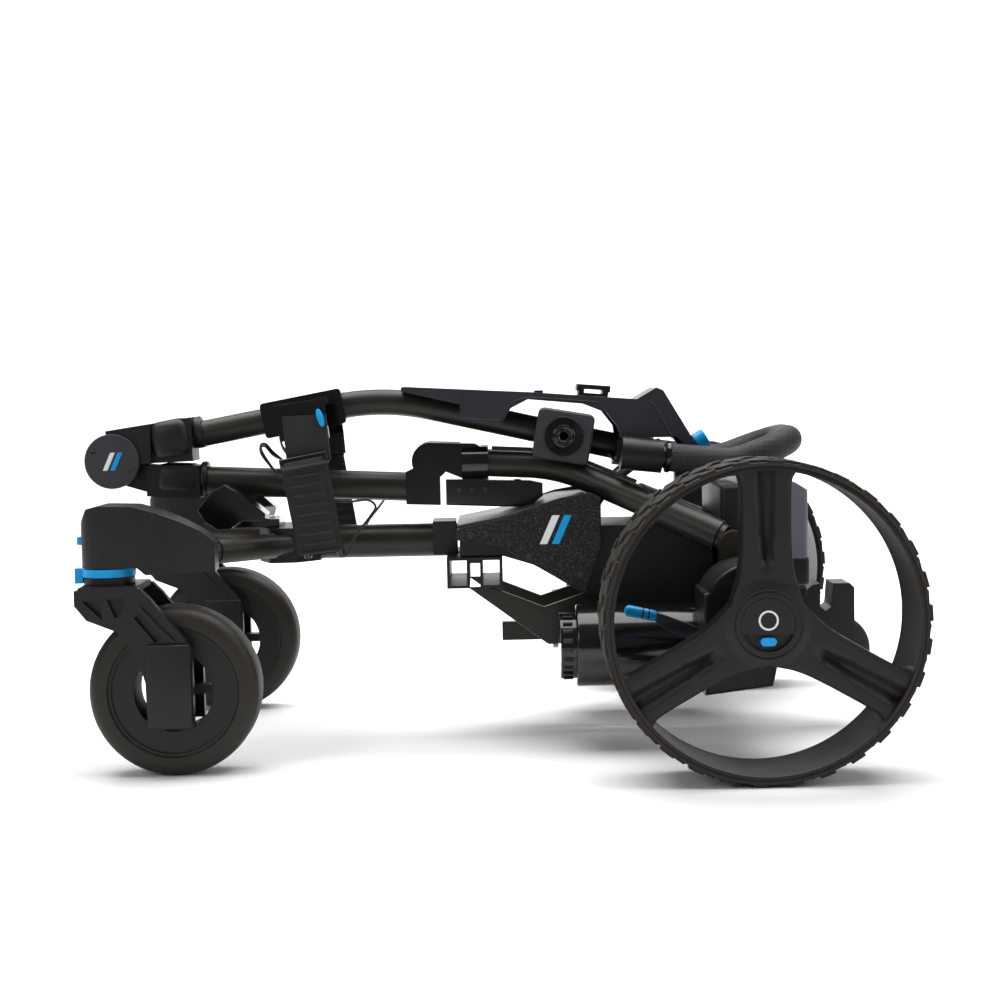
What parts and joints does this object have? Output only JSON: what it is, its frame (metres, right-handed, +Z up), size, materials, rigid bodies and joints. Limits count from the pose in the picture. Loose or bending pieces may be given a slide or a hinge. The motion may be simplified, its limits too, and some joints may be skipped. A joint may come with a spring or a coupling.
{
  "type": "folding electric golf trolley",
  "caption": "Folded electric golf trolley with two driven rear wheels, two swivelling front casters, folding mast and handle, bag cradles and a battery between the wheels.",
  "frame": {"origin": "on the ground, below the centre of the folded trolley's bounding box", "axes": "+X points to the rear of the trolley, along its length; +Y to its right-hand side, along the rear axle; +Z up"},
  "size_m": [0.8423, 0.588, 0.3779],
  "materials": {
    "frame_black": "satin black powder coat",
    "moulded_black": "textured moulded black plastic",
    "gloss_black": "glossy black plastic",
    "blue_plastic": "bright blue plastic",
    "tyre_rubber": "black tread rubber",
    "grip_rubber": "dotted black rubber",
    "webbing": "woven black webbing",
    "steel": "turned steel"
  },
  "bodies": {
    "chassis": {"lower_tube": "frame_black", "front_yoke": "moulded_black", "yoke_legs": "frame_black", "caster_housings": "moulded_black", "bag_cradle_lower": "gloss_black", "front_bracket": "moulded_black", "chassis_tub": "moulded_black", "chassis_cover": "moulded_black", "side_panels": "moulded_black", "stays": "frame_black", "arch_bracket": "gloss_black", "latch_box": "gloss_black", "rear_frame": "moulded_black", "gearboxes": "moulded_black", "motors": "frame_black", "strut_arms": "frame_black", "rear_bracket": "moulded_black", "control_cable": "grip_rubber", "fasteners": "steel"},
    "battery": {"battery_case": "moulded_black"},
    "anti_tip": {"anti_tip_wheel": "tyre_rubber"},
    "brake": {"brake_lever": "moulded_black"},
    "mast": {"mast_tube": "frame_black", "mast_block": "gloss_black", "lower_hinge_socket": "moulded_black"},
    "handle": {"handle_tube": "frame_black", "upper_hinge_socket": "moulded_black", "hinge_pin": "moulded_black", "upper_cradle": "gloss_black", "straps": "webbing", "strap_pads": "grip_rubber", "console_base": "moulded_black", "console_cover": "moulded_black", "console_clip": "moulded_black", "accessory_mount": "moulded_black", "handle_loop": "frame_black", "handle_grip": "grip_rubber"},
    "dial": {"speed_dial": "blue_plastic"},
    "power": {"power_button": "moulded_black"},
    "wheel_left": {"rim_left": "moulded_black", "tyre_left": "tyre_rubber", "hub_cap_left": "gloss_black", "drive_axle_left": "steel"},
    "release_left": {"release_button_left": "blue_plastic"},
    "fork_left": {"caster_fork_left": "moulded_black"},
    "caster_left": {"caster_rim_left": "moulded_black", "caster_tyre_left": "tyre_rubber"},
    "ring_left": {"lock_ring_left": "blue_plastic"},
    "lock_left": {"lock_button_left": "blue_plastic"},
    "wheel_right": {"rim_right": "moulded_black", "tyre_right": "tyre_rubber", "hub_cap_right": "gloss_black", "drive_axle_right": "steel"},
    "release_right": {"release_button_right": "blue_plastic"},
    "fork_right": {"caster_fork_right": "moulded_black"},
    "caster_right": {"caster_rim_right": "moulded_black", "caster_tyre_right": "tyre_rubber"},
    "ring_right": {"lock_ring_right": "blue_plastic"},
    "lock_right": {"lock_button_right": "blue_plastic"}
  },
  "joints": [
    {"name": "mast_fold", "type": "hinge", "parent": "chassis", "child": "mast", "pos_m": [-0.052, 0, 0.298], "axis": [0, 1, 0], "range_deg": [0, 128]},
    {"name": "handle_fold", "type": "hinge", "parent": "mast", "child": "handle", "pos_m": [-0.391, 0, 0.3046], "axis": [0, -1, 0], "range_deg": [0, 168]},
    {"name": "battery_slide", "type": "slide", "parent": "chassis", "child": "battery", "axis": [1, 0, 0], "range_m": [0, 0.12]},
    {"name": "anti_tip_spin", "type": "hinge", "parent": "chassis", "child": "anti_tip", "pos_m": [0.385, 0, 0.084], "axis": [0, 1, 0], "continuous": true},
    {"name": "brake_turn", "type": "hinge", "parent": "chassis", "child": "brake", "pos_m": [0.232, -0.204, 0.122], "axis": [0, 1, 0], "range_deg": [0, 15]},
    {"name": "dial_turn", "type": "hinge", "parent": "handle", "child": "dial", "pos_m": [0.2325, 0, 0.3093], "axis": [0.862, 0, 0.507], "continuous": true},
    {"name": "power_press", "type": "slide", "parent": "handle", "child": "power", "axis": [0, 0, -1], "range_m": [0, 0.0012], "stiffness_N_per_m": 300},
    {"name": "wheel_spin_left", "type": "hinge", "parent": "chassis", "child": "wheel_left", "pos_m": [0.265, -0.2515, 0.1525], "axis": [0, 1, 0], "continuous": true},
    {"name": "release_press_left", "type": "slide", "parent": "wheel_left", "child": "release_left", "axis": [0, 1, 0], "range_m": [0, 0.003], "stiffness_N_per_m": 400},
    {"name": "caster_swivel_left", "type": "hinge", "parent": "chassis", "child": "fork_left", "pos_m": [-0.366, -0.1725, 0.22], "axis": [0, 0, 1], "continuous": true},
    {"name": "caster_spin_left", "type": "hinge", "parent": "fork_left", "child": "caster_left", "pos_m": [-0.303, -0.1725, 0.084], "axis": [0, 1, 0], "continuous": true},
    {"name": "lock_ring_turn_left", "type": "hinge", "parent": "chassis", "child": "ring_left", "pos_m": [-0.366, -0.1725, 0.202], "axis": [0, 0, 1], "range_deg": [0, 25]},
    {"name": "lock_press_left", "type": "slide", "parent": "chassis", "child": "lock_left", "axis": [1, 0, 0], "range_m": [0, 0.003], "stiffness_N_per_m": 300},
    {"name": "wheel_spin_right", "type": "hinge", "parent": "chassis", "child": "wheel_right", "pos_m": [0.265, 0.2515, 0.1525], "axis": [0, 1, 0], "continuous": true},
    {"name": "release_press_right", "type": "slide", "parent": "wheel_right", "child": "release_right", "axis": [0, -1, 0], "range_m": [0, 0.003], "stiffness_N_per_m": 400},
    {"name": "caster_swivel_right", "type": "hinge", "parent": "chassis", "child": "fork_right", "pos_m": [-0.366, 0.1725, 0.22], "axis": [0, 0, 1], "continuous": true},
    {"name": "caster_spin_right", "type": "hinge", "parent": "fork_right", "child": "caster_right", "pos_m": [-0.303, 0.1725, 0.084], "axis": [0, 1, 0], "continuous": true},
    {"name": "lock_ring_turn_right", "type": "hinge", "parent": "chassis", "child": "ring_right", "pos_m": [-0.366, 0.1725, 0.202], "axis": [0, 0, 1], "range_deg": [0, 25]},
    {"name": "lock_press_right", "type": "slide", "parent": "chassis", "child": "lock_right", "axis": [1, 0, 0], "range_m": [0, 0.003], "stiffness_N_per_m": 300}
  ],
  "couplings": [
    {"joint": "handle_fold", "follows": "mast_fold", "ratio": 1.3125}
  ]
}
